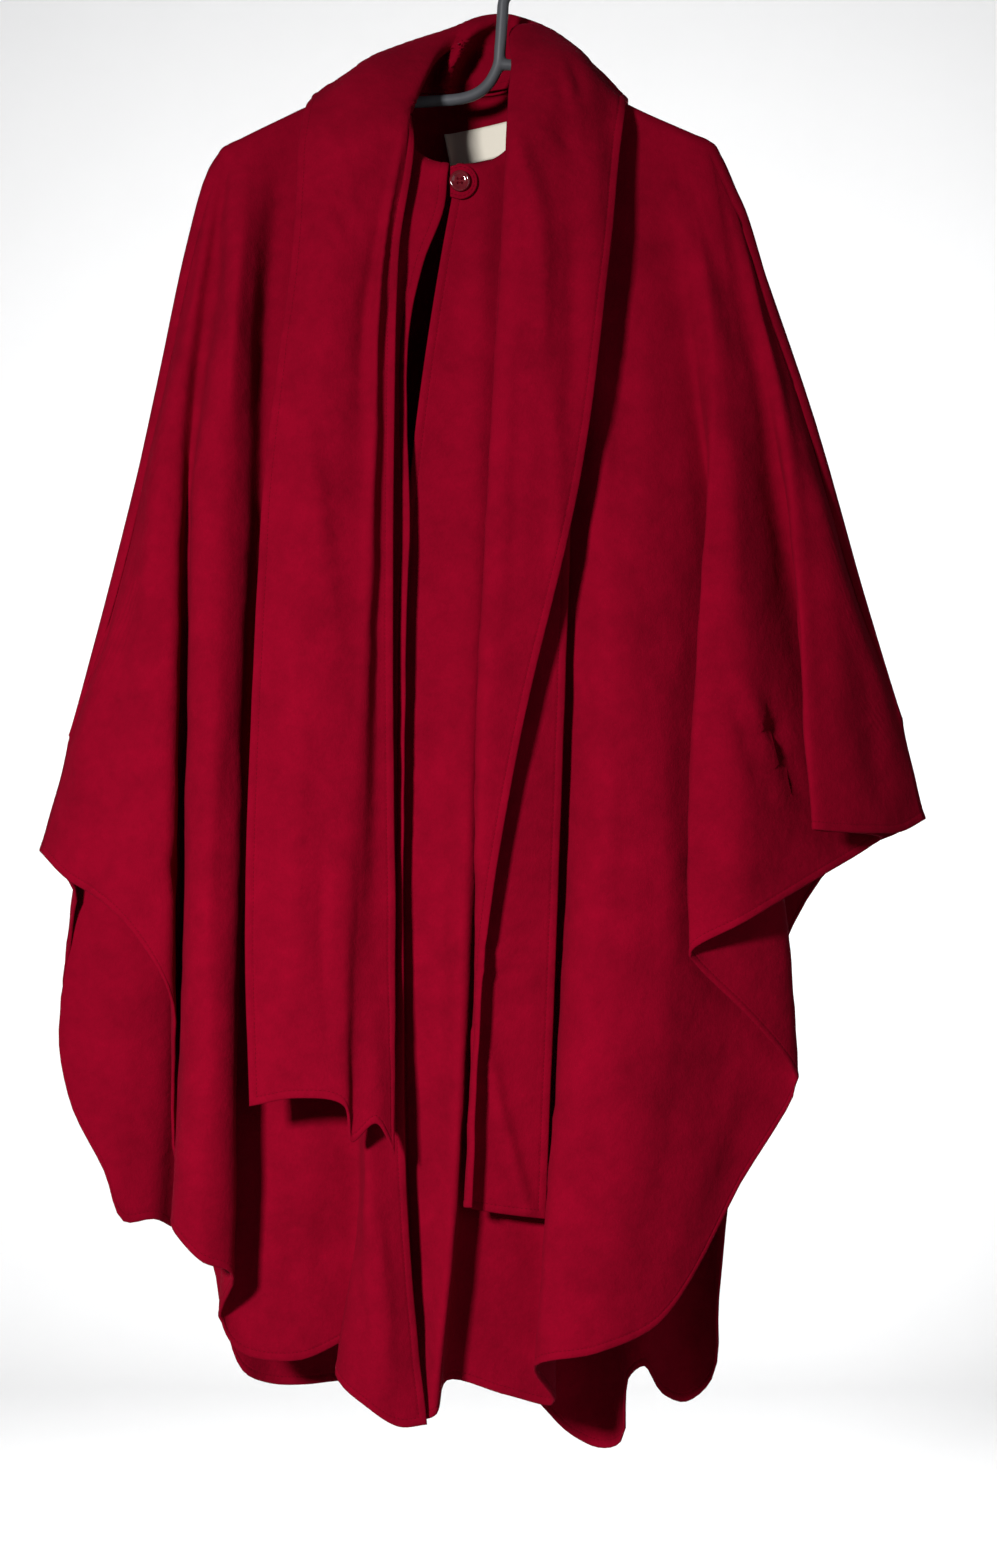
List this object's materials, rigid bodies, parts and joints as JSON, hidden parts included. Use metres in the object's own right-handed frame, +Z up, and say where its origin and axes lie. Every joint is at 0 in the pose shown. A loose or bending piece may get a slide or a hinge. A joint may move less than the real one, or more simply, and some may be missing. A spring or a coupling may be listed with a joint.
{
  "type": "cape on a clothes hanger",
  "caption": "Knee-length wool cape with an attached long scarf collar, hanging with its neck tab buttoned on a plastic clothes hanger.",
  "frame": {"origin": "inner top of the hanger's hook, where it hangs on its rod", "axes": "+X to the viewer's right along the hanger, +Y away from the viewer towards the back of the cape, +Z up"},
  "size_m": [0.772, 0.1949, 1.33],
  "materials": {
    "cape_wool": "matt napped wool",
    "scarf_wool": "matt napped wool",
    "button_plastic": "gloss",
    "label_tape": "satin woven",
    "hanger_plastic": "satin"
  },
  "bodies": {
    "root": {"cape_back": "cape_wool", "cape_front_left": "cape_wool", "cape_front_right": "cape_wool", "scarf_neck": "scarf_wool", "scarf_tail_left": "scarf_wool", "scarf_tail_right": "scarf_wool", "neck_tab": "cape_wool", "neck_button": "button_plastic", "neck_label": "label_tape", "hanger": "hanger_plastic"}
  },
  "joints": []
}
